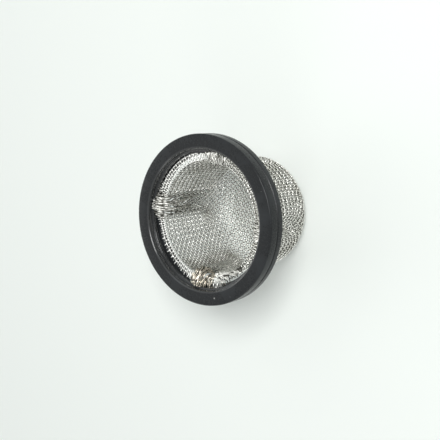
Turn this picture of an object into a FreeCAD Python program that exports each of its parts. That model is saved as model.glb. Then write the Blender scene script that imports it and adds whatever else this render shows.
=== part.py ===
import FreeCAD, Part
import math
import os
import Sketcher

# An oil drain plug strainer: a cup of woven steel wire whose flat brim is moulded into a black rubber ring.
# Lengths in mm, angles in degrees. The origin is the middle of the cup's flat bottom, outside, and +Z runs
# along the axis to the open mouth.

# Driving dimensions of the whole strainer
overallHeight = 23.6  # cup bottom to the ring's front face
ringDiameter = 36.0  # outside diameter of the ring

# Driving dimensions of the ring
faceWidth = 3.1  # width of the ring's front face
throatDepth = 1.3  # front face down to the step
stepWidth = 0.4  # width of the step in the throat
seatDepth = 0.9  # step down to the mesh brim
lipWidth = 0.6  # how far the lip stands in behind the mesh
lipThickness = 1.5  # thickness of the lip behind the mesh
ringChamfer = 0.35  # chamfer of the ring's outer edges
grooveDepth = 0.35  # depth of the groove round the rim
grooveWidth = 0.4  # width of the groove round the rim
grooveOffset = 2.4  # front face to the middle of the groove

# Driving dimensions of the mesh cup
clothThickness = 0.5  # thickness of the woven cloth, two wires
brimGrip = 1.7  # how far the mesh brim goes into the rubber
slotClearance = 0.1  # gap between the brim's edge and the slot's end
openBrim = 0.7  # flat of the brim that shows inside the lip
brimBend = 0.6  # outside size of the bend between wall and brim
cornerRadius = 4.4  # outside radius between wall and bottom

# Driving dimensions of the open weave
weaveTurn = 23.0  # angle from +X to the first wire direction
strandWidth = 1.2  # width of the strands round and up the wall
cornerGapWidth = 1.7  # width of a gap in the rounded corner
floorStrandWidth = 0.8  # width of the strands across the bottom
floorRimWidth = 0.5  # width of the closed rim round the bottom's gaps
ridgeWidth = 0.7  # width of the ridges inside
ridgeHeight = 0.2  # how far strands and ridges stand out of the cloth

# Driving dimensions of the bunched folds
foldReach = 1.1  # how far a fold stands in from the wall
foldRise = 0.5  # how far a fold stands up from the brim
foldLength = 7.0  # how far a fold runs down the wall
foldWidth = 1.2  # width of a fold at its foot
foldTaper = 12.0  # slope of a fold's flanks

# Counts
foldCount = 4
gapColumns = 20
gapRows = 3
floorStrands = 5
cornerSteps = 4
bendSteps = 2

doc = FreeCAD.newDocument("strainer")
sheet = doc.addObject("Spreadsheet::Sheet", "Sizes")


class Dim:
    """A size as a number together with the sheet formula that gives it."""

    def __init__(self, value, text):
        self.value = float(value)
        self.text = text

    def join(self, other, sign, value):
        return Dim(value, "({} {} {})".format(self.text, sign, dim(other).text))

    def __add__(self, other):
        return self.join(other, "+", self.value + dim(other).value)

    def __sub__(self, other):
        return self.join(other, "-", self.value - dim(other).value)

    def __mul__(self, other):
        return self.join(other, "*", self.value * dim(other).value)

    def __truediv__(self, other):
        return self.join(other, "/", self.value / dim(other).value)


def dim(size):
    """Turn a bare number into a Dim, and leave a Dim as it is."""
    if isinstance(size, Dim):
        return size
    return Dim(size, "{:.9f}".format(size))


def drive(row, alias, value):
    """Write one driving dimension into its row of the sheet."""
    sheet.set("A{}".format(row), alias.replace("_", " "))
    sheet.set("B{}".format(row), str(value))
    sheet.setAlias("B{}".format(row), alias)
    return Dim(value, "Sizes." + alias)


# The sheet takes the driving dimensions, and from here each name stands for its cell
overallHeight = drive(1, "overall_height", overallHeight)
ringDiameter = drive(2, "ring_diameter", ringDiameter)
faceWidth = drive(3, "face_width", faceWidth)
throatDepth = drive(4, "throat_depth", throatDepth)
stepWidth = drive(5, "step_width", stepWidth)
seatDepth = drive(6, "seat_depth", seatDepth)
lipWidth = drive(7, "lip_width", lipWidth)
lipThickness = drive(8, "lip_thickness", lipThickness)
ringChamfer = drive(9, "ring_chamfer", ringChamfer)
grooveDepth = drive(10, "groove_depth", grooveDepth)
grooveWidth = drive(11, "groove_width", grooveWidth)
grooveOffset = drive(12, "groove_offset", grooveOffset)
clothThickness = drive(13, "cloth_thickness", clothThickness)
brimGrip = drive(14, "brim_grip", brimGrip)
slotClearance = drive(15, "slot_clearance", slotClearance)
openBrim = drive(16, "open_brim", openBrim)
brimBend = drive(17, "brim_bend", brimBend)
cornerRadius = drive(18, "corner_radius", cornerRadius)
weaveTurn = drive(19, "weave_turn", weaveTurn)
strandWidth = drive(20, "strand_width", strandWidth)
cornerGapWidth = drive(21, "corner_gap_width", cornerGapWidth)
floorStrandWidth = drive(22, "floor_strand_width", floorStrandWidth)
floorRimWidth = drive(23, "floor_rim_width", floorRimWidth)
ridgeWidth = drive(24, "ridge_width", ridgeWidth)
ridgeHeight = drive(25, "ridge_height", ridgeHeight)
foldReach = drive(26, "fold_reach", foldReach)
foldRise = drive(27, "fold_rise", foldRise)
foldLength = drive(28, "fold_length", foldLength)
foldWidth = drive(29, "fold_width", foldWidth)
foldTaper = drive(30, "fold_taper", foldTaper)

# Sizes that follow from them, from the ring's outside inwards and from its face down
ringRadius = ringDiameter / 2
throatRadius = ringRadius - faceWidth
seatRadius = throatRadius - stepWidth
lipRadius = seatRadius - lipWidth
brimRadius = seatRadius + brimGrip
slotRadius = brimRadius + slotClearance
cupRadius = lipRadius - openBrim - brimBend
bottomRadius = cupRadius - cornerRadius
brimTop = overallHeight - throatDepth - seatDepth
brimUnder = brimTop - clothThickness
ringBack = brimUnder - lipThickness
wallTop = brimUnder - brimBend
rowPitch = (wallTop - cornerRadius - strandWidth) / gapRows
floorRadius = bottomRadius - floorRimWidth
layerOverlap = clothThickness * 0.3
foldAngle = weaveTurn + 45


def originFeature(body, role):
    """Find one of the body's own origin planes or axes by its role."""
    for feature in body.Origin.OriginFeatures:
        if feature.Role == role:
            return feature
    raise ValueError(role)


def addBody(label):
    """Start one sub-part, whose label names its file."""
    body = doc.addObject("PartDesign::Body", label)
    body.Label = label
    return body


def addSketch(body, name, role):
    """Put an empty sketch on one of the body's origin planes."""
    sketch = body.newObject("Sketcher::SketchObject", name)
    sketch.AttachmentSupport = [(originFeature(body, role), "")]
    sketch.MapMode = "FlatFace"
    return sketch


def turnSketch(sketch, axis, angle):
    """Turn a sketch about the strainer's axis, which is the given axis of its own plane."""
    sketch.AttachmentOffset = FreeCAD.Placement(FreeCAD.Vector(0, 0, 0), FreeCAD.Rotation(axis, angle.value))
    sketch.setExpression("AttachmentOffset.Rotation.Angle", angle.text)


def raiseSketch(sketch, level):
    """Lift a sketch on the XY plane to a level."""
    sketch.AttachmentOffset = FreeCAD.Placement(
        FreeCAD.Vector(0, 0, level.value), sketch.AttachmentOffset.Rotation
    )
    sketch.setExpression("AttachmentOffset.Base.z", level.text)


def drawOutline(sketch, points, name="p"):
    """Draw a closed outline of straight edges, each point tied to two formulas of the sheet."""
    count = len(points)
    first = sketch.GeometryCount
    corners = [FreeCAD.Vector(x.value, y.value, 0) for x, y in points]
    sketch.addGeometry([Part.LineSegment(corners[i], corners[(i + 1) % count]) for i in range(count)])
    constraints = []
    named = []
    for i in range(count):
        edge = first + i
        constraints.append(Sketcher.Constraint("Coincident", edge, 2, first + (i + 1) % count, 1))
        for axis, kind, size in (("x", "DistanceX", points[i][0]), ("y", "DistanceY", points[i][1])):
            if abs(size.value) < 1e-9:
                constraints.append(Sketcher.Constraint("PointOnObject", edge, 1, -2 if axis == "x" else -1))
                continue
            named.append((len(constraints), "{}{}{}".format(name, i, axis), size))
            constraints.append(Sketcher.Constraint(kind, -1, 1, edge, 1, size.value))
    base = sketch.ConstraintCount
    sketch.addConstraint(constraints)
    for offset, label, size in named:
        sketch.renameConstraint(base + offset, label)
        sketch.setExpression("Constraints." + label, size.text)


def drawBox(sketch, name, centre, width, height):
    """Draw one rectangle about a centre."""
    left, right = centre[0] - width / 2, centre[0] + width / 2
    low, high = centre[1] - height / 2, centre[1] + height / 2
    drawOutline(sketch, [(left, low), (right, low), (right, high), (left, high)], name)


def roundSteps(centre, radius, fromAngle, toAngle, steps):
    """The points of a round stretch, bent in equal steps between two angles."""
    points = []
    for i in range(steps + 1):
        angle = math.radians(fromAngle + (toAngle - fromAngle) * i / steps)
        points.append((centre[0] + radius * math.cos(angle), centre[1] + radius * math.sin(angle)))
    return points


def revolve(body, name, sketch):
    """Turn a half section all the way round the axis."""
    turned = body.newObject("PartDesign::Revolution", name)
    turned.Profile = sketch
    turned.ReferenceAxis = (sketch, ["V_Axis"])
    turned.Angle = 360
    return turned


def pad(body, name, sketch, length, taper=None, bothSides=False):
    """Raise a sketch by a length, with sloped flanks if a taper is given."""
    raised = body.newObject("PartDesign::Pad", name)
    raised.Profile = sketch
    raised.setExpression("Length", length.text)
    if bothSides:
        raised.SideType = "Symmetric"
    if taper:
        raised.setExpression("TaperAngle", "0 - " + taper.text)
    return raised


def pocket(body, name, sketch, length):
    """Cut a sketch's outline out of the body, upwards from the sketch."""
    cut = body.newObject("PartDesign::Pocket", name)
    cut.Profile = sketch
    cut.setExpression("Length", length.text)
    cut.Reversed = True
    return cut


def repeatRound(body, name, features, count):
    """Repeat features evenly round the axis."""
    pattern = body.newObject("PartDesign::PolarPattern", name)
    pattern.Originals = features
    pattern.Axis = (originFeature(body, "Z_Axis"), [""])
    pattern.Angle = 360
    pattern.Occurrences = count
    body.Tip = pattern
    return pattern


def makeRing():
    """The rubber ring: grooved rim, stepped throat, and the slot that holds the mesh brim."""
    body = addBody("rim_ring")
    grooveLevel = overallHeight - grooveOffset
    stepLevel = overallHeight - throatDepth
    section = addSketch(body, "RingSection", "XZ_Plane")
    drawOutline(
        section,
        [
            (lipRadius, ringBack),
            (ringRadius - ringChamfer, ringBack),
            (ringRadius, ringBack + ringChamfer),
            (ringRadius, grooveLevel - grooveWidth / 2),
            (ringRadius - grooveDepth, grooveLevel),
            (ringRadius, grooveLevel + grooveWidth / 2),
            (ringRadius, overallHeight - ringChamfer),
            (ringRadius - ringChamfer, overallHeight),
            (throatRadius, overallHeight),
            (throatRadius, stepLevel),
            (seatRadius, stepLevel),
            (seatRadius, brimTop),
            (slotRadius, brimTop),
            (slotRadius, brimUnder),
            (lipRadius, brimUnder),
        ],
    )
    revolve(body, "RingTurned", section)
    return body


def makeCup():
    """The drawn cup of woven wire: strands with gaps between them, and folds that gather the spare cloth."""
    body = addBody("mesh_cup")
    wallInside = cupRadius - clothThickness
    lowestGap = cornerRadius + strandWidth
    highestGap = wallTop - strandWidth
    cornerCentre = (bottomRadius, cornerRadius)
    brimCentre = (cupRadius + brimBend, wallTop)
    section = addSketch(body, "CupSection", "XZ_Plane")
    corner = [(floorRadius, dim(0))]
    corner += roundSteps(cornerCentre, cornerRadius, -90, 0, cornerSteps)
    corner += [(cupRadius, lowestGap), (wallInside, lowestGap)]
    corner += roundSteps(cornerCentre, cornerRadius - clothThickness, 0, -90, cornerSteps)
    corner += [(floorRadius, clothThickness)]
    drawOutline(section, corner, "corner")
    brim = [(cupRadius, highestGap)]
    brim += roundSteps(brimCentre, brimBend, 180, 90, bendSteps)
    brim += [(brimRadius, brimUnder), (brimRadius, brimTop)]
    brim += roundSteps(brimCentre, brimBend + clothThickness, 90, 180, bendSteps)
    brim += [(wallInside, highestGap)]
    drawOutline(section, brim, "brim")
    revolve(body, "CupTurned", section)
    addCornerGaps(body)
    addWallStrands(body)
    addBrimRidges(body)
    addFloorStrands(body)
    addFolds(body)
    return body


def addCornerGaps(body):
    """The gaps of the rounded corner, each under one column of the wall's gaps."""
    outline = addSketch(body, "CornerGapOutline", "XY_Plane")
    low = clothThickness * 1.2
    turnSketch(outline, FreeCAD.Vector(0, 0, 1), weaveTurn + 180 / gapColumns)
    raiseSketch(outline, low)
    drawBox(outline, "p", (bottomRadius + cornerRadius / 2, dim(0)), cornerRadius + 1, cornerGapWidth)
    gap = pocket(body, "CornerGap", outline, cornerRadius - strandWidth / 3 - low)
    repeatRound(body, "CornerGaps", [gap], gapColumns)


def addWallStrands(body):
    """The wall between its round ends: upright strands, and level ones that run straight between them."""
    inside = cupRadius - clothThickness
    foot = inside + layerOverlap
    top = cupRadius + ridgeHeight
    section = addSketch(body, "UprightSection", "XY_Plane")
    turnSketch(section, FreeCAD.Vector(0, 0, 1), weaveTurn)
    raiseSketch(section, cornerRadius)
    half = strandWidth / 2
    drawOutline(section, [(foot, half * -1), (top, half / -2), (top, half / 2), (foot, half)])
    strands = [pad(body, "Upright", section, wallTop - cornerRadius)]
    layer = (clothThickness + layerOverlap) / 2
    reach = inside * 2 * math.tan(math.pi / gapColumns) + strandWidth / 3
    for row in range(1, gapRows):
        section = addSketch(body, "LevelSection{}".format(row), "XY_Plane")
        turnSketch(section, FreeCAD.Vector(0, 0, 1), weaveTurn + 180 / gapColumns)
        raiseSketch(section, cornerRadius + rowPitch * row)
        drawBox(section, "p", (inside + layer / 2, dim(0)), layer, reach)
        strands.append(pad(body, "Level{}".format(row), section, strandWidth))
    repeatRound(body, "WallStrands", strands, gapColumns)


def addBrimRidges(body):
    """The ridges inside that run over the bend and out along the brim."""
    wallInside = cupRadius - clothThickness
    buried = wallInside + layerOverlap
    brimCentre = (cupRadius + brimBend, wallTop)
    bendRadius = brimBend + clothThickness
    brimEnd = seatRadius - slotClearance
    outline = addSketch(body, "BrimRidgeOutline", "XZ_Plane")
    turnSketch(outline, FreeCAD.Vector(0, 1, 0), weaveTurn)
    points = [(brimEnd, brimTop + ridgeHeight)]
    points += roundSteps(brimCentre, bendRadius + ridgeHeight, 90, 180, bendSteps)
    points += [(wallInside - ridgeHeight, wallTop - strandWidth), (buried, wallTop - strandWidth)]
    points += roundSteps(brimCentre, bendRadius - layerOverlap, 180, 90, bendSteps)
    points += [(brimEnd, brimTop - layerOverlap)]
    drawOutline(outline, points)
    ridge = pad(body, "BrimRidge", outline, ridgeWidth, None, True)
    repeatRound(body, "BrimRidges", [ridge], gapColumns)


def addFloorStrands(body):
    """The strands across the bottom, in two layers that cross at right angles."""
    pitch = floorRadius * 2 / (floorStrands + 0.8)
    layer = (clothThickness + layerOverlap) / 2
    for turn in range(2):
        outline = addSketch(body, "FloorStrandOutline{}".format(turn), "XY_Plane")
        turnSketch(outline, FreeCAD.Vector(0, 0, 1), weaveTurn + 90 * turn)
        raiseSketch(outline, (clothThickness - layer) * turn)
        for line in range(floorStrands):
            offset = line - (floorStrands - 1) / 2
            share = offset * 2 / (floorStrands + 0.8)
            reach = (floorRadius + floorRimWidth / 2) * 2 * math.sqrt(1 - share ** 2)
            drawBox(outline, "strand{}_".format(line), (dim(0), pitch * offset), reach, floorStrandWidth)
        pad(body, "FloorStrands{}".format(turn), outline, layer)


def addFolds(body):
    """The spare cloth of each bias direction: a pleat that swells towards the bend and dies away both ways."""
    buried = clothThickness * 0.9
    wallInside = cupRadius - clothThickness
    foldEnd = brimTop - foldLength
    outline = addSketch(body, "FoldOutline", "XZ_Plane")
    turnSketch(outline, FreeCAD.Vector(0, 1, 0), foldAngle)
    bendCentre = (cupRadius + brimBend, wallTop)
    behind = roundSteps(bendCentre, brimBend + clothThickness - buried, 90, 180, bendSteps)
    front = roundSteps((wallInside, brimTop + foldRise - foldReach), foldReach, 180, 90, 3)
    points = [(lipRadius, brimTop - buried)] + behind
    points += [(wallInside + buried, foldEnd), (wallInside, foldEnd)] + front
    points += [(lipRadius, brimTop)]
    drawOutline(outline, points)
    fold = pad(body, "Fold", outline, foldWidth, foldTaper, True)
    repeatRound(body, "Folds", [fold], foldCount)


def checkObjects():
    """Stop if any object of the document failed."""
    for thing in doc.Objects:
        if "Invalid" in thing.State or "Error" in thing.State:
            raise RuntimeError("{} is {}".format(thing.Label, thing.State))


def writePart(body):
    """Check one sub-part's shape and write its file."""
    shape = body.Shape
    if shape.isNull() or not shape.isValid():
        raise RuntimeError("{} has no valid shape".format(body.Label))
    if len(shape.Solids) != 1:
        raise RuntimeError("{} has {} solids".format(body.Label, len(shape.Solids)))
    shape.exportStep("parts/{}.step".format(body.Label))
    box = shape.BoundBox
    print("{}: {:.1f} mm3, z {:.2f} to {:.2f}".format(body.Label, shape.Volume, box.ZMin, box.ZMax))


bodies = [makeRing(), makeCup()]
doc.recompute()
checkObjects()
os.makedirs("parts", exist_ok=True)
for body in bodies:
    writePart(body)
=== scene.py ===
import math

import bpy
import numpy as np
from mathutils import Matrix, Vector


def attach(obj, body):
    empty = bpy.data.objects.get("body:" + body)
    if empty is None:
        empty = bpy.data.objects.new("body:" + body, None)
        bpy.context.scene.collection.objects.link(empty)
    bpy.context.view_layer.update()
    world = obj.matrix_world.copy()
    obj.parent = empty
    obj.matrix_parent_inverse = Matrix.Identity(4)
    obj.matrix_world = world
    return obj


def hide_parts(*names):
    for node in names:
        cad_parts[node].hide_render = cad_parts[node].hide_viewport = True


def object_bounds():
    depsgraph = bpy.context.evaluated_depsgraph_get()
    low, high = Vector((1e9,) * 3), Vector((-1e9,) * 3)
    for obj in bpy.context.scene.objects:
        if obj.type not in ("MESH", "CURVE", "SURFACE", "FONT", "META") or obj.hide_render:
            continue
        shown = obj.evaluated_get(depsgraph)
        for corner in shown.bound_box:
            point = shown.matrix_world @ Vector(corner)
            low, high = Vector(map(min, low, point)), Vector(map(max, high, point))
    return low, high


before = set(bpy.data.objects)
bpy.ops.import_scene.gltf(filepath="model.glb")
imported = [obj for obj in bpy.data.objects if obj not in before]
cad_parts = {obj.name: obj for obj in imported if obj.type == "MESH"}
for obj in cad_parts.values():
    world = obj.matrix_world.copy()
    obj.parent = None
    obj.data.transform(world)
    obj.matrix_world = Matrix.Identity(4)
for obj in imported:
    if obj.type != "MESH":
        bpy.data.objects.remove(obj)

mm = 0.001  # the dictionaries give lengths in mm and the scene is in metres
sizeAtLoad = [list(corner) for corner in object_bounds()]
faceLevel = sizeAtLoad[1][2] / mm
ringRadius = sizeAtLoad[1][0] / mm
print("frame loaded")


class Field:
    # a node's output that can be added, multiplied and mixed

    def __init__(self, tree, socket=None):
        self.tree = tree
        self.socket = socket

    def node(self, kind, inputs=None, output=0, **settings):
        made = self.tree.nodes.new(kind)
        for name, value in settings.items():
            setattr(made, name, value)
        for name, value in (inputs or {}).items():
            target = made.inputs[name]
            if isinstance(value, Field):
                self.tree.links.new(value.socket, target)
            elif target.type == "RGBA":
                target.default_value = (*value, 1.0)
            else:
                target.default_value = value
        return Field(self.tree, made.outputs[output]) if made.outputs else None

    def isVector(self):
        return self.socket.type in ("VECTOR", "RGBA")

    def maths(self, operation, first, second):
        if any(isinstance(item, Field) and item.isVector() for item in (first, second)):
            return self.vectorMaths(operation, first, second)
        return self.node("ShaderNodeMath", {0: first, 1: second}, operation=operation)

    def vectorMaths(self, operation, first, second, output=0):
        values = [(item,) * 3 if isinstance(item, (int, float)) else item for item in (first, second)]
        inputs = dict(enumerate(values))
        return self.node("ShaderNodeVectorMath", inputs, output, operation=operation)

    def __add__(self, other):
        return self.maths("ADD", self, other)

    def __radd__(self, other):
        return self.maths("ADD", other, self)

    def __sub__(self, other):
        return self.maths("SUBTRACT", self, other)

    def __rsub__(self, other):
        return self.maths("SUBTRACT", other, self)

    def __mul__(self, other):
        return self.maths("MULTIPLY", self, other)

    def __rmul__(self, other):
        return self.maths("MULTIPLY", other, self)

    def __gt__(self, other):
        return self.maths("GREATER_THAN", self, other)

    def __lt__(self, other):
        return self.maths("LESS_THAN", self, other)

    def larger(self, other):
        return self.maths("MAXIMUM", self, other)

    def distance(self, point):
        return self.vectorMaths("DISTANCE", self, point, "Value")

    def along(self, axis):
        return self.node("ShaderNodeSeparateXYZ", {"Vector": self}, axis)

    def ramp(self, low, high, start=0.0, end=1.0):
        inputs = {"Value": self, "From Min": low, "From Max": high, "To Min": start, "To Max": end}
        return self.node("ShaderNodeMapRange", inputs, interpolation_type="SMOOTHSTEP")

    def mix(self, first, second):
        return self.node("ShaderNodeMix", {0: self, 6: first, 7: second}, 2, data_type="RGBA")

    def noise(self, scale, detail, roughness=0.5):
        inputs = {"Vector": self, "Scale": scale, "Detail": detail, "Roughness": roughness}
        return self.node("ShaderNodeTexNoise", inputs, "Fac")

    def bump(self, strength, distance):
        inputs = {"Height": self, "Strength": strength, "Distance": distance * mm}
        return self.node("ShaderNodeBump", inputs, "Normal")


def emptyTree(owner):
    # the cleared nodes of a material or the world, ready for its first node
    owner.use_nodes = True
    owner.node_tree.nodes.clear()
    return Field(owner.node_tree)


def nearPoint(place, point, reach):
    # 1 within reach of a point, both in mm, and 0 outside it
    return place.distance(tuple(value * mm for value in point)) < reach * mm


def nearRim(place, spot):
    # the same for a spot at an angle in degrees, a radius and a depth under the ring's face
    angle, radius, depth, reach = spot
    turn = math.radians(angle)
    point = (radius * math.cos(turn), radius * math.sin(turn), faceLevel - depth)
    return nearPoint(place, point, reach)


def addPiece(name, verts, faces, nodeName, material):
    mesh = bpy.data.meshes.new(name)
    mesh.from_pydata(verts * mm, [], faces)
    mesh.polygons.foreach_set("use_smooth", [True] * len(mesh.polygons))
    mesh.materials.append(material)
    mesh.update()
    piece = bpy.data.objects.new(name, mesh)
    bpy.context.scene.collection.objects.link(piece)
    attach(piece, "root")
    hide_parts(nodeName)
    print(name, len(faces), "faces")
    return piece


def roundCorners(corners, steps=6):
    # corners are (r, z, rounding); each is replaced by an arc of that rounding
    outline = []
    count = len(corners)
    for i, (r, z, rounding) in enumerate(corners):
        here = np.array([r, z])
        if rounding == 0:
            outline.append(here)
            continue
        before = np.array(corners[i - 1][:2]) - here
        after = np.array(corners[(i + 1) % count][:2]) - here
        before /= np.linalg.norm(before)
        after /= np.linalg.norm(after)
        half = math.acos(max(-1, min(1, float(before @ after)))) / 2
        cut = rounding / math.tan(half)
        centre = here + (before + after) / np.linalg.norm(before + after) * rounding / math.sin(half)
        first = here + before * cut - centre
        last = here + after * cut - centre
        spread = math.pi - 2 * half
        for step in range(steps + 1):
            t = step / steps
            arm = (math.sin((1 - t) * spread) * first + math.sin(t * spread) * last) / math.sin(spread)
            outline.append(centre + arm)
    return np.array(outline)


def lathe(outline, segments):
    # turns a closed outline of (r, z) about the Z axis
    count = len(outline)
    angles = np.arange(segments) * 2 * math.pi / segments
    r, z = outline.T
    x, y = np.outer(np.cos(angles), r), np.outer(np.sin(angles), r)
    verts = np.stack([x, y, np.tile(z, (segments, 1))], -1)
    faces = []
    for i in range(segments):
        j = (i + 1) % segments
        for k in range(count):
            n = (k + 1) % count
            faces.append((i * count + k, j * count + k, j * count + n, i * count + n))
    return verts.reshape(-1, 3), faces


ringShape = {
    "segments": 288,
    "faceWidth": 3.1,
    "throatDepth": 1.3,
    "stepWidth": 0.4,
    "brimDepth": 2.2,
    "lipWidth": 0.6,
    "clothThickness": 0.5,
    "slotDepth": 1.8,
    "thickness": 4.2,
    "grooveLevel": 2.4,
    "grooveWidth": 0.4,
    "grooveDepth": 0.35,
    "outerRounding": 0.4,
    "innerRounding": 0.5,
    "grooveRounding": (0.06, 0.08),  # at its mouth and its bottom
    "stepRounding": (0.1, 0.15),
    "lipRounding": (0.2, 0.12),
    "seatRounding": 0.04,
    "color": (0.018, 0.0195, 0.0205),
    "paleColor": (0.029, 0.032, 0.0345),
    "dustColor": (0.42, 0.42, 0.40),
    # painted shade for a small pit in the groove, which has no shape of its own
    "pitShade": (0.004, 0.004, 0.004),
    "speck": ((-16.4, -0.2), 0.16),  # x and y on the face, and its size
    "pit": ((-12.5, -12.5), 0.3),  # x and y in the groove, and its size
    "sheenRadius": 15.3,  # the bore inside this radius is glossier
    "sheen": 0.8,
    "filmScale": 140.0,
    "grainScale": 2600.0,
    "fineScale": 9000.0,
    "dust": (900.0, 0.055),  # scale and size of the dust's specks
    "dustAreas": (260.0, 0.6),  # scale of the areas that have dust, and their limit
    "roughness": (0.24, 0.36),
    "relief": 0.25,
}


def ringOutline(shape):
    # corners from the lip's back edge outwards, over the face and down the throat
    throat = ringRadius - shape["faceWidth"]
    seat = throat - shape["stepWidth"]
    lip = seat - shape["lipWidth"]
    slot = seat + shape["slotDepth"]
    back = faceLevel - shape["thickness"]
    step = faceLevel - shape["throatDepth"]
    brimTop = faceLevel - shape["brimDepth"]
    brimUnder = brimTop - shape["clothThickness"]
    groove = faceLevel - shape["grooveLevel"]
    halfGroove = shape["grooveWidth"] / 2
    grooveMouth, grooveBottom = shape["grooveRounding"]
    stepInner, stepOuter = shape["stepRounding"]
    lipBack, lipTop = shape["lipRounding"]
    corners = [
        (lip, back, lipBack),
        (ringRadius, back, shape["outerRounding"]),
        (ringRadius, groove - halfGroove, grooveMouth),
        (ringRadius - shape["grooveDepth"], groove, grooveBottom),
        (ringRadius, groove + halfGroove, grooveMouth),
        (ringRadius, faceLevel, shape["outerRounding"]),
        (throat, faceLevel, shape["innerRounding"]),
        (throat, step, stepInner),
        (seat, step, stepOuter),
        (seat, brimTop, shape["seatRounding"]),
        (slot, brimTop, 0),
        (slot, brimUnder, 0),
        (lip, brimUnder, lipTop),
    ]
    return roundCorners(corners)


def rubberMaterial(shape):
    material = bpy.data.materials.new("rim rubber")
    start = emptyTree(material)
    place = start.node("ShaderNodeTexCoord", output="Object")
    cloud = place.noise(shape["filmScale"], 4.0, 0.6)
    grain = place.noise(shape["grainScale"], 2.0, 0.6)
    fine = place.noise(shape["fineScale"], 2.0)
    film = cloud.ramp(0.42, 0.75)
    dustScale, dustSize = shape["dust"]
    areaScale, areaLimit = shape["dustAreas"]
    cells = {"Vector": place, "Scale": dustScale, "Randomness": 1.0}
    dust = start.node("ShaderNodeTexVoronoi", cells, "Distance") < dustSize
    dust = dust * (place.noise(areaScale, 2.0) > areaLimit)
    speckPlace, speckSize = shape["speck"]
    speck = nearPoint(place, (*speckPlace, faceLevel), speckSize)
    pitPlace, pitSize = shape["pit"]
    pit = nearPoint(place, (*pitPlace, faceLevel - shape["grooveLevel"]), pitSize)
    color = film.mix(shape["color"], shape["paleColor"])
    color = (dust * 0.5).larger(speck * 0.8).mix(color, shape["dustColor"])
    # painted shade where the groove's pit lies
    color = pit.mix(color, shape["pitShade"])
    fromAxis = (place * (1.0, 1.0, 0.0)).distance((0.0, 0.0, 0.0))
    height = cloud * 0.5 + grain * 0.15 + fine * 0.05
    surface = start.node("ShaderNodeBsdfPrincipled", {
        "Base Color": color,
        "Roughness": film.ramp(0, 1, *shape["roughness"]) + grain * 0.06,
        "Specular IOR Level": 0.15,
        "Coat Weight": (fromAxis < shape["sheenRadius"] * mm) * shape["sheen"],
        "Coat Roughness": 0.16,
        "Normal": height.bump(shape["relief"], 0.05),
    })
    start.node("ShaderNodeOutputMaterial", {"Surface": surface})
    return material


rubber = rubberMaterial(ringShape)
ringVerts, ringFaces = lathe(ringOutline(ringShape), ringShape["segments"])
addPiece("rubber_ring", ringVerts, ringFaces, "rim_ring", rubber)


# s is the way along the cloth from the bottom's centre; angles are in degrees
clothShape = {
    "wiresPerQuarter": 46,
    "pitch": 0.82,
    "wireRadius": 0.118,
    "turn": 23.0,  # of the wires to the X axis
    "bottomRadius": 8.2,  # this and the next four go to the middle of the cloth
    "cornerRadius": 4.15,
    "bottomLevel": 0.26,
    "brimDepth": 2.45,
    "bendRadius": 0.45,
    "wallDraw": 0.11,  # how much closer the level wires lie up the wall
    "wallBand": (10.5, 19.0),  # s over which the draped net takes on the wall's order
    "wideSpacing": 0.70,  # of the upright wires near a wire direction
    "tightSpacing": 0.47,  # and towards a fold
    "spacingBand": (9.0, 19.0),
    "lowFoldStart": 37.0,  # the spare cloth of a bias direction is gathered beyond this angle
    "foldStart": 40.5,
    "foldBand": (14.0, 22.0),  # s over which the first of these gives way to the second
    "climb": (12.0, 57.0, 2.6),  # of the level wires in a fold: lead, end and power
    "foldWidening": (25.0, 7.0, 1.3),  # from this s on, over this length, in degrees per mm
    "gatherBand": (21.5, 27.0),  # s over which a fold rises
    "crumple": 0.14,
    "crumpleStart": 24.0,  # from this s on it grows towards the brim
    "pairing": 0.14,  # level wires of the wall lie in pairs, shifted and lifted by this
    "pairRise": 0.14,
    "pairTurn": (4.0, 20.0),  # angles over which the pairs get their full shift
    # the quarters: signs of their two wire directions, height of the fold, share of the pairing
    "quarters": [(1, 1, 1.3, 1.0), (-1, 1, 1.1, 0.15), (-1, -1, 0.15, 0.8), (1, -1, 0.4, 1.0)],
    # trimmed edge in the throat, as angle and radius
    "trim": [
        (0, 14.1), (15, 14.3), (50, 14.5), (56, 14.7), (76, 14.7), (88, 13.9), (140, 14.1), (158, 14.6),
        (178, 14.6), (200, 13.7), (235, 13.9), (300, 14.1), (340, 14.4), (360, 13.9),
    ],
    "trimScatter": 0.12,
    # how far the wires that cross the rim stand out past the last level wire, as angle and length
    "combs": [(0, 0.1), (74, 0.1), (86, 0.65), (146, 0.65), (156, 0.1), (360, 0.2)],
    # the bend into the brim sinks at this angle, by this depth, over this spread and height
    "slack": (28.0, 0.21, 24.0, 1.4),
    "sides": 6,
    "samples": 4,
    "seed": 11,
}


class Cloth:
    # the middle surface of the cup, with places on it given by s and angle

    def __init__(self, shape):
        self.shape = shape
        self.flat = shape["bottomRadius"]
        self.corner = shape["cornerRadius"]
        self.base = shape["bottomLevel"]
        self.bend = shape["bendRadius"]
        self.wall = self.flat + self.corner
        self.wallTop = faceLevel - shape["brimDepth"] - self.bend
        wallHeight = self.wallTop - self.base - self.corner
        lengths = [self.flat, self.corner * math.pi / 2, wallHeight, self.bend * math.pi / 2]
        self.marks = np.cumsum(lengths)

    def profile(self, s):
        # radius, level, and the inward normal as (radial, axial)
        s = np.asarray(s, float)
        bottomEnd, cornerEnd, wallEnd, bendEnd = self.marks
        turn = np.clip((s - bottomEnd) / self.corner, 0, math.pi / 2)
        back = np.clip((s - wallEnd) / self.bend, 0, math.pi / 2)
        r = np.minimum(s, bottomEnd) + self.corner * np.sin(turn)
        r = r + self.bend * (1 - np.cos(back)) + np.maximum(s - bendEnd, 0)
        z = self.base + self.corner * (1 - np.cos(turn))
        z = z + np.clip(s - cornerEnd, 0, wallEnd - cornerEnd) + self.bend * np.sin(back)
        lean = turn - back
        return r, z, -np.sin(lean), np.cos(lean)

    def point(self, s, angle):
        r, z, _, _ = self.profile(s)
        return np.stack([r * np.cos(angle), r * np.sin(angle), z], -1)


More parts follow.
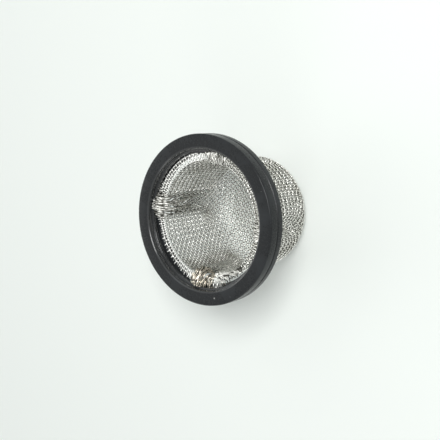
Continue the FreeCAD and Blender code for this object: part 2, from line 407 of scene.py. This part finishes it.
def smoothStep(values, low, high):
    t = np.clip((values - low) / (high - low), 0, 1)
    return t * t * (3 - 2 * t)


def unit(vectors):
    return vectors / np.maximum(np.linalg.norm(vectors, axis=-1, keepdims=True), 1e-9)


def angleOf(points):
    return np.degrees(np.arctan2(points[..., 1], points[..., 0]))


def pitchAt(cloth, s):
    draw = cloth.shape["wallDraw"] * smoothStep(s, cloth.marks[0], cloth.marks[1] + 3.0)
    return cloth.shape["pitch"] * (1 - draw)


def stepAlong(cloth, s):
    # the next crossing on a wire that runs straight up from the centre
    start = cloth.point(s, 0.0)
    pitch = pitchAt(cloth, s)
    low, high = s + 0.3 * pitch, s + 1.2 * pitch
    for _ in range(40):
        middle = (low + high) / 2
        if np.linalg.norm(cloth.point(middle, 0.0) - start) < pitch:
            low = middle
        else:
            high = middle
    return (low + high) / 2


def drapeQuarter(cloth, count):
    # a square cloth laid over the cup, for the quarter between two wires
    s = np.zeros((count, count))
    angle = np.zeros((count, count))
    angle[0, :] = math.pi / 2
    for i in range(1, count):
        s[i, 0] = s[0, i] = stepAlong(cloth, s[i - 1, 0])
    for total in range(2, 2 * count - 1):
        i = np.arange(max(1, total - count + 1, (total + 1) // 2), min(count - 1, total - 1) + 1)
        j = total - i
        first = cloth.point(s[i - 1, j], angle[i - 1, j])
        second = cloth.point(s[i, j - 1], angle[i, j - 1])
        opposite = cloth.point(s[i - 1, j - 1], angle[i - 1, j - 1])
        side = pitchAt(cloth, s[i - 1, j - 1])
        guess = first + second - opposite
        onwards = s[i - 1, j] + s[i, j - 1] - s[i - 1, j - 1]
        x = np.stack([onwards, np.arctan2(guess[:, 1], guess[:, 0])], -1)

        def miss(x):
            # how far a place is from one pitch off both neighbours
            here = cloth.point(x[:, 0], x[:, 1])
            one = ((here - first) ** 2).sum(-1)
            two = ((here - second) ** 2).sum(-1)
            return np.stack([one - side ** 2, two - side ** 2], -1)

        for _ in range(40):
            error = miss(x)
            slope = np.empty((len(i), 2, 2))
            for k in range(2):
                moved = x.copy()
                moved[:, k] += 1e-5
                slope[:, :, k] = (miss(moved) - error) / 1e-5
            det = slope[:, 0, 0] * slope[:, 1, 1] - slope[:, 0, 1] * slope[:, 1, 0]
            det = np.where(np.abs(det) < 1e-9, 1e-9, det)
            ds = -(slope[:, 1, 1] * error[:, 0] - slope[:, 0, 1] * error[:, 1]) / det
            da = -(slope[:, 0, 0] * error[:, 1] - slope[:, 1, 0] * error[:, 0]) / det
            step = np.maximum(np.abs(ds), np.abs(da) * np.maximum(cloth.profile(x[:, 0])[0], 0.3))
            scale = np.minimum(1, 0.3 / np.maximum(step, 1e-9))
            x[:, 0] += ds * scale
            x[:, 1] += da * scale
        s[i, j], angle[i, j] = x[:, 0], x[:, 1]
        s[j, i], angle[j, i] = x[:, 0], math.pi / 2 - x[:, 1]
    return s, angle


def layOnWall(cloth, s, angle):
    # up the wall the level wires run flat and the upright ones straight, and only the folds are sheared
    shape = cloth.shape
    wide, tight = shape["wideSpacing"], shape["tightSpacing"]
    low, high = shape["lowFoldStart"], shape["foldStart"]
    lead, climbEnd, power = shape["climb"]
    i, j = np.meshgrid(np.arange(len(s)), np.arange(len(s)), indexing="ij")
    row, wire = np.maximum(i, j), np.minimum(i, j)
    start = s[row, 0]
    edge = low + (high - low) * smoothStep(start, *shape["foldBand"])
    steps = np.linspace(0, 45, 200)
    spacing = wide + (tight - wide) * smoothStep(steps, *shape["spacingBand"])
    number = np.concatenate([[0], np.cumsum(np.radians(np.diff(steps)) * cloth.wall / spacing[1:])])
    upTo = np.interp(edge, steps, number)
    natural = math.degrees(tight / cloth.wall)
    beyond = np.maximum(row - upTo, 0) * natural
    squeeze = np.minimum(1, (45 - edge) / np.maximum(beyond, 1e-9))
    whole = np.interp(np.minimum(row, upTo), number, steps) + beyond * squeeze
    part = np.interp(np.minimum(wire, upTo), number, steps)
    part = part + np.maximum(wire - upTo, 0) * natural * squeeze
    turned = 45 * part / np.maximum(whole, 1e-9)
    climb = np.clip((turned - edge + lead) / (climbEnd - edge), 0, 1) ** power
    level = start + (s[row, row] - start) * climb
    onWall = smoothStep(start, *shape["wallBand"])
    draped = np.minimum(angle, math.pi / 2 - angle)
    s = s + (level - s) * onWall
    turned = draped + (np.radians(turned) - draped) * onWall
    return s, turned, np.where(i >= j, turned, math.pi / 2 - turned)


def clothNodes(cloth, s, turned, angle, quarter, dice):
    # the crossing points of one quarter, with a fold and crumpling of its own
    shape = cloth.shape
    bottomEnd, cornerEnd, wallEnd, _ = cloth.marks
    signI, signJ, foldHeight, pairShare = quarter
    row = np.arange(len(s))
    parity = 1 - 2 * (np.maximum(row[:, None], row[None, :]) % 2)
    onWall = smoothStep(s, bottomEnd + 2.0, cornerEnd + 1.0)
    onWall = onWall * (1 - smoothStep(s, wallEnd - 1.5, wallEnd))
    paired = pairShare * parity * onWall
    paired = paired * (0.4 + 0.6 * smoothStep(np.degrees(turned), *shape["pairTurn"]))
    r, z, inward, axial = cloth.profile(s + shape["pairing"] * paired)
    wideningStart, wideningLength, widening = shape["foldWidening"]
    edge = shape["foldStart"] - widening * np.clip(s - wideningStart, 0, wideningLength)
    zone = np.clip((np.degrees(turned) - edge) / (45 - edge), 0, 1)
    high = smoothStep(s, *shape["gatherBand"])
    lifted = foldHeight * high * smoothStep(zone, 0, 1) + shape["pairRise"] * paired
    crumple = shape["crumple"] * min(1, 0.4 + foldHeight) * high * smoothStep(zone, 0, 0.4)
    crumple = crumple * (0.5 + smoothStep(s, shape["crumpleStart"], wallEnd))
    lifted = lifted + crumple * dice.normal(0, 1, s.shape)
    angle = angle + crumple * dice.normal(0, 1, s.shape) / np.maximum(r, 1e-6)
    r = r + inward * lifted
    z = z + axial * lifted
    return np.stack([signI * r * np.cos(angle), signJ * r * np.sin(angle), z], -1)


def fullNodes(cloth):
    shape = cloth.shape
    count = shape["wiresPerQuarter"]
    dice = np.random.default_rng(shape["seed"])
    s, angle = drapeQuarter(cloth, count)
    s, turned, angle = layOnWall(cloth, s, angle)
    middle = count - 1
    span = np.arange(count)
    points = np.zeros((2 * count - 1, 2 * count - 1, 3))
    for quarter in shape["quarters"]:
        rows = np.ix_(middle + quarter[0] * span, middle + quarter[1] * span)
        points[rows] = clothNodes(cloth, s, turned, angle, quarter, dice)
    points[middle, :, 0] = 0.0
    points[:, middle, 1] = 0.0
    turn = math.radians(shape["turn"])
    cosine, sine = math.cos(turn), math.sin(turn)
    points = points @ np.array([[cosine, sine, 0], [-sine, cosine, 0], [0, 0, 1]])
    where, depth, spread, reach = shape["slack"]
    away = (angleOf(points) - where + 180) % 360 - 180
    above = points[..., 2] - cloth.wallTop
    sunk = depth * np.exp(-((away / spread) ** 2) - (above / reach) ** 2)
    radius = np.hypot(points[..., 0], points[..., 1])
    points[..., :2] *= (1 + sunk / np.maximum(radius, 1.0))[..., None]
    points[..., 2] -= sunk
    return points


def nodeNormals(points):
    # normal of the cloth at each crossing, from its two diagonals, pointing into the cup
    padded = np.pad(points, ((1, 1), (1, 1), (0, 0)), mode="edge")
    rising = padded[2:, 2:] - padded[:-2, :-2]
    falling = padded[2:, :-2] - padded[:-2, 2:]
    return unit(np.cross(falling, rising))


def trimLimits(points, radii, cloth):
    # how far out each crossing may lie, less for the wires that run level round the brim
    angles = angleOf(points) % 360
    limits = np.interp(angles, *zip(*cloth.shape["trim"]))
    combs = np.interp(angles, *zip(*cloth.shape["combs"]))
    outwards = points[..., :2] / np.maximum(radii, 1e-9)[..., None]
    along = unit(np.gradient(points, axis=0))
    level = np.abs((along[..., :2] * outwards).sum(-1)) < 0.5
    return limits - combs * level * (points[..., 2] > cloth.wallTop)


def smoothCurve(values, index, part):
    # a smooth curve through the values, at a whole index and a part of the way to the next
    a = values[np.maximum(index - 1, 0)]
    b = values[index]
    c = values[index + 1]
    d = values[np.minimum(index + 2, len(values) - 1)]
    return b + 0.5 * part * (c - a + part * (2 * a - 5 * b + 4 * c - d + part * (3 * (b - c) + d - a)))


def wirePaths(points, normals, cloth, flip, dice):
    # the wires along the first index, each a path over one node and under the next
    shape = cloth.shape
    width = len(points)
    middle = width // 2
    before = np.arange(1, shape["samples"] + 1) / shape["samples"]
    radii = np.hypot(points[..., 0], points[..., 1])
    limits = trimLimits(points, radii, cloth)
    paths = []
    for column in range(width):
        radius = radii[:, column]
        limit = limits[:, column] + dice.normal(0, shape["trimScatter"])
        inside = radius < limit
        if not inside[middle]:
            continue
        start = end = middle
        while start > 0 and inside[start - 1]:
            start -= 1
        while end < width - 1 and inside[end + 1]:
            end += 1
        if end - start < 2:
            continue
        tail = []
        for last, beyond in ((start, max(start - 1, 0)), (end, min(end + 1, width - 1))):
            gain = max(radius[beyond] - radius[last], 1e-6)
            tail.append(min(max((limit[last] - radius[last]) / gain, 0.1), 1.0))
        t = np.arange((end - start) * shape["samples"] + 1) / shape["samples"] + start
        t = np.concatenate([start - before[::-1] * tail[0], t, end + before * tail[1]])
        t = np.clip(t, 0, width - 1)
        index = np.minimum(t.astype(int), width - 2)
        part = (t - index)[:, None]
        place = smoothCurve(points[:, column], index, part)
        up = unit(smoothCurve(normals[:, column], index, part))
        over = np.cos(np.pi * (t - column)) * flip * shape["wireRadius"]
        paths.append((place + up * over[:, None], up, over))
    return paths


def tubes(paths, radius, sides):
    # round wires along the paths, with flat cut ends, and how far each vertex stands out of the cloth
    verts, faces, heights = [], [], []
    base = 0
    angles = np.arange(sides) * 2 * math.pi / sides
    cosines = np.cos(angles)[None, :]
    sines = np.sin(angles)[None, :]
    corner = np.arange(sides)[None, :]
    for place, up, over in paths:
        along = unit(np.gradient(place, axis=0))
        across = unit(np.cross(along, up))
        upright = np.cross(across, along)
        rings = cosines[..., None] * upright[:, None] + sines[..., None] * across[:, None]
        verts.append((place[:, None] + radius * rings).reshape(-1, 3))
        heights.append(np.abs(over[:, None] / radius + cosines).ravel() / 2)
        count = len(place)
        start = base + np.arange(count - 1)[:, None] * sides
        a = start + corner
        b = start + (corner + 1) % sides
        faces.extend(np.stack([a, b, b + sides, a + sides], -1).reshape(-1, 4).tolist())
        faces.append(list(range(base + sides - 1, base - 1, -1)))
        faces.append(list(range(base + (count - 1) * sides, base + count * sides)))
        base += count * sides
    return np.concatenate(verts), faces, np.concatenate(heights)


wireFinish = {
    "clean": (0.94, 0.93, 0.89),
    "dull": (0.64, 0.63, 0.585),
    "stained": (0.90, 0.81, 0.68),
    # painted highlight colour for the brim where the light falls on it
    "brimHighlight": (0.97, 0.97, 0.95),
    # dark colour low in the weave: partly oil residue at the crossings, partly painted shade between
    # the crests
    "shadeAndResidue": (0.085, 0.081, 0.066),
    # spots by the brim, as angle, radius, depth under the face and reach
    "bunch": (162.0, 12.9, 2.6, 3.0),
    "tuft": (69.0, 13.2, 3.0, 3.2),
    # painted shade round the pressed folds
    "shadedHollow": (197.0, 12.9, 2.4, 3.5),
    "highlightDepth": (2.85, 2.6),  # the brim gets a painted highlight above these depths
    "highlightSide": (-6.0, 1.0),  # and on the side of the larger y
    "cloudScale": 220.0,
    "fineScale": 5200.0,
    "shadeFade": (0.2, 0.64),  # the heights over which the residue and painted shade low in the weave give way to bare wire
    "roughness": (0.1, 0.75, 0.5, 0.26),  # two heights, and the roughness at each
    "relief": 0.3,
}


def wireMaterial(finish):
    material = bpy.data.materials.new("steel wire")
    start = emptyTree(material)
    place = start.node("ShaderNodeTexCoord", output="Object")
    cloud = place.noise(finish["cloudScale"], 3.0, 0.6)
    fine = place.noise(finish["fineScale"], 2.0, 0.6)
    crest = start.node("ShaderNodeAttribute", output="Fac", attribute_name="height")
    bunch = nearRim(place, finish["bunch"])
    tuft = nearRim(place, finish["tuft"])
    shadedHollow = nearRim(place, finish["shadedHollow"])
    lowDepth, highDepth = finish["highlightDepth"]
    lowSide, highSide = finish["highlightSide"]
    # painted highlight on the brim, on the side of the larger y: paler, barer and rougher there
    brim = place.along("Z").ramp((faceLevel - lowDepth) * mm, (faceLevel - highDepth) * mm)
    brim = brim * place.along("Y").ramp(lowSide * mm, highSide * mm)
    brim = brim * (1.0 - bunch) * (1.0 - tuft) * (1.0 - shadedHollow)
    color = cloud.ramp(0.35, 0.7).mix(finish["clean"], finish["dull"])
    color = (bunch * 0.8).mix(color, finish["stained"])
    color = (tuft * 0.6).mix(color, finish["clean"])
    color = (brim * 0.7).mix(color, finish["brimHighlight"])
    # share of bare wire: low in the weave it gives way to residue and painted shade, and the brim's
    # painted highlight raises it
    bareAndLit = crest.ramp(*finish["shadeFade"]) + brim * 0.45 - (bunch + tuft) * 0.1
    # painted shade darkens the wires round the pressed folds; only the tops of the pressed folds are
    # above 1.1, and they stay bright there
    bareAndLit = bareAndLit - shadedHollow * (crest < 1.1) * 0.85
    surface = start.node("ShaderNodeBsdfPrincipled", {
        "Base Color": bareAndLit.mix(finish["shadeAndResidue"], color),
        "Metallic": 1.0,
        "Roughness": crest.ramp(*finish["roughness"]) + fine * 0.08 + brim * 0.2 + tuft * 0.12,
        "Normal": fine.bump(finish["relief"], 0.01),
    })
    start.node("ShaderNodeOutputMaterial", {"Surface": surface})
    return material


steel = wireMaterial(wireFinish)


def addWires(name, paths, radius):
    verts, faces, heights = tubes(paths, radius, clothShape["sides"])
    piece = addPiece(name, verts, faces, "mesh_cup", steel)
    piece.data.attributes.new("height", "FLOAT", "POINT").data.foreach_set("value", heights)


cloth = Cloth(clothShape)
nodes = fullNodes(cloth)
normals = nodeNormals(nodes)
dice = np.random.default_rng(clothShape["seed"] + 1)
families = {
    "warp_wires": wirePaths(nodes, normals, cloth, 1, dice),
    "weft_wires": wirePaths(nodes.transpose(1, 0, 2), normals.transpose(1, 0, 2), cloth, -1, dice),
}
for name, paths in families.items():
    half = len(paths) // 2
    addWires(name + "_left", paths[:half], clothShape["wireRadius"])
    addWires(name + "_right", paths[half:], clothShape["wireRadius"])


# folds of the brim that are pressed flat beside the lower bunch
pressedShape = {
    # each run is a list of (radius, angle)
    "runs": [
        [(11.6, 180), (12.2, 186), (12.7, 190), (13.4, 196)],
        [(12.5, 178), (13.1, 184), (13.7, 190)],
        [(11.6, 191), (12.3, 197), (13.0, 202), (13.7, 204)],
        [(12.4, 203), (13.1, 207), (13.8, 210)],
        [(11.5, 186), (11.9, 191), (12.2, 194)],
    ],
    "wiresPerRun": 3,
    "wireRadius": 0.09,
    "gap": 0.16,
    "depth": 1.65,
    "outerDrop": 0.12,  # of the outer wires of a run
    "sideWave": (0.1, 4.5),  # height, and turns in radians per mm
    "levelWave": (0.1, 5.0),
    "seed": 5,
}


def pressedPaths(shape):
    dice = np.random.default_rng(shape["seed"])
    sideHeight, sideTurns = shape["sideWave"]
    levelHeight, levelTurns = shape["levelWave"]
    paths = []
    for run in shape["runs"]:
        radii, turns = np.array(run, float).T
        turns = np.radians(turns)
        corners = [radii * np.cos(turns), radii * np.sin(turns)]
        t = np.linspace(0, len(run) - 1, 9 * len(run))
        line = np.stack([np.interp(t, np.arange(len(run)), values) for values in corners], -1)
        for _ in range(6):
            line[1:-1] = (line[:-2] + 2 * line[1:-1] + line[2:]) / 4
        ahead = unit(np.gradient(line, axis=0))
        aside = np.stack([-ahead[:, 1], ahead[:, 0]], -1)
        length = np.concatenate([[0], np.cumsum(np.linalg.norm(np.diff(line, axis=0), axis=-1))])
        for k in range(shape["wiresPerRun"]):
            fromMiddle = k - (shape["wiresPerRun"] - 1) / 2
            phase = dice.uniform(0, 2 * math.pi)
            shift = shape["gap"] * fromMiddle + sideHeight * np.sin(length * sideTurns + phase / 3)
            level = faceLevel - shape["depth"] + levelHeight * np.sin(length * levelTurns + phase)
            level = level - shape["outerDrop"] * abs(fromMiddle)
            place = np.concatenate([line + aside * shift[:, None], level[:, None]], -1)
            first = dice.integers(0, 4)
            last = len(place) - dice.integers(0, 4)
            up = np.tile([0.0, 0.0, 1.0], (last - first, 1))
            paths.append((place[first:last], up, np.full(last - first, 2.0 * shape["wireRadius"])))
    return paths


addWires("pressed_folds", pressedPaths(pressedShape), pressedShape["wireRadius"])


def seenDirectly(start):
    # 1 for what the camera sees, also in metal and through gaps
    outputs = ("Is Camera Ray", "Is Glossy Ray", "Is Transmission Ray")
    camera, glossy, through = [start.node("ShaderNodeLightPath", output=name) for name in outputs]
    return camera.larger(glossy).larger(through)


floorShape = {
    "reach": 1200.0,
    "color": (0.86, 0.90, 0.86),
    "glowColor": (0.90, 0.94, 0.90),
    "glowShare": 0.1,
}


def addFloor(shape):
    material = bpy.data.materials.new("pale floor")
    start = emptyTree(material)
    diffuse = start.node("ShaderNodeBsdfDiffuse", {"Color": shape["color"]})
    glow = start.node("ShaderNodeEmission", {"Color": shape["glowColor"], "Strength": 1.0})
    share = seenDirectly(start) * shape["glowShare"]
    surface = start.node("ShaderNodeMixShader", {"Fac": share, 1: diffuse, 2: glow})
    start.node("ShaderNodeOutputMaterial", {"Surface": surface})
    reach = shape["reach"] * mm
    corners = [(-reach, -reach, 0), (reach, -reach, 0), (reach, reach, 0), (-reach, reach, 0)]
    mesh = bpy.data.meshes.new("floor")
    mesh.from_pydata(corners, [], [(0, 1, 2, 3)])
    mesh.materials.append(material)
    floor = bpy.data.objects.new("floor", mesh)
    bpy.context.scene.collection.objects.link(floor)


worldShape = {
    "light": {"Color": (0.95, 0.98, 1.0), "Strength": 0.3},
    "seen": {"Color": (0.93, 0.96, 0.94), "Strength": 0.95},
}


def addWorld(shape):
    world = bpy.data.worlds.new("studio")
    bpy.context.scene.world = world
    start = emptyTree(world)
    light = start.node("ShaderNodeBackground", shape["light"])
    seen = start.node("ShaderNodeBackground", shape["seen"])
    both = start.node("ShaderNodeMixShader", {"Fac": seenDirectly(start), 1: light, 2: seen})
    start.node("ShaderNodeOutputWorld", {"Surface": both})


# place in metres, size in metres and power in watts
lampShape = {
    "key": ((0.12, -0.28, 0.44), 0.2, 2.25),
    "overhead": ((0.4, 0.1, 0.45), 0.4, 0.3),
    "left": ((0.1, 0.5, 0.2), 0.3, 0.5),
    "back": ((0.04, 0.36, 0.42), 0.3, 0.12),
    "front": ((-0.45, 0.05, 0.16), 0.2, 0.35),
}
lampTarget = (0, 0, 0.015)


def addLamp(name, place, size, power):
    data = bpy.data.lights.new(name, "AREA")
    data.shape = "SQUARE"
    data.size = size
    data.energy = power
    lamp = bpy.data.objects.new(name, data)
    lamp.location = place
    lamp.rotation_euler = (Vector(lampTarget) - Vector(place)).to_track_quat("-Z", "Y").to_euler()
    bpy.context.scene.collection.objects.link(lamp)


# the camera looks at the middle of the ring's face, moved aside and up in the picture
cameraShape = {
    "distance": 160.0,
    "tilt": 39.43,
    "roll": 9.88,
    "lens": 63.04,
    "aimRight": -4.15,
    "aimUp": -0.129,
}


def addCamera(shape):
    tilt = math.radians(shape["tilt"])
    roll = math.radians(shape["roll"])
    forward = Vector((0.0, math.sin(tilt), -math.cos(tilt)))
    level = Vector((0.0, -math.cos(tilt), -math.sin(tilt)))
    right = math.cos(roll) * level - math.sin(roll) * Vector((1.0, 0.0, 0.0))
    up = right.cross(forward)
    centre = Vector((0.0, 0.0, faceLevel)) - right * shape["aimRight"] - up * shape["aimUp"]
    place = (centre - forward * shape["distance"]) * mm
    data = bpy.data.cameras.new("camera")
    data.sensor_width = 36.0
    data.lens = shape["lens"]
    data.clip_start = 0.01
    camera = bpy.data.objects.new("camera", data)
    axes = Matrix((right, up, -forward)).transposed()
    camera.matrix_world = Matrix.Translation(place) @ axes.to_4x4()
    bpy.context.scene.collection.objects.link(camera)
    bpy.context.scene.camera = camera


addFloor(floorShape)
addWorld(worldShape)
for name, (place, size, power) in lampShape.items():
    addLamp(name, place, size, power)
addCamera(cameraShape)
bpy.context.scene.view_settings.view_transform = "Standard"
print("stage ready")
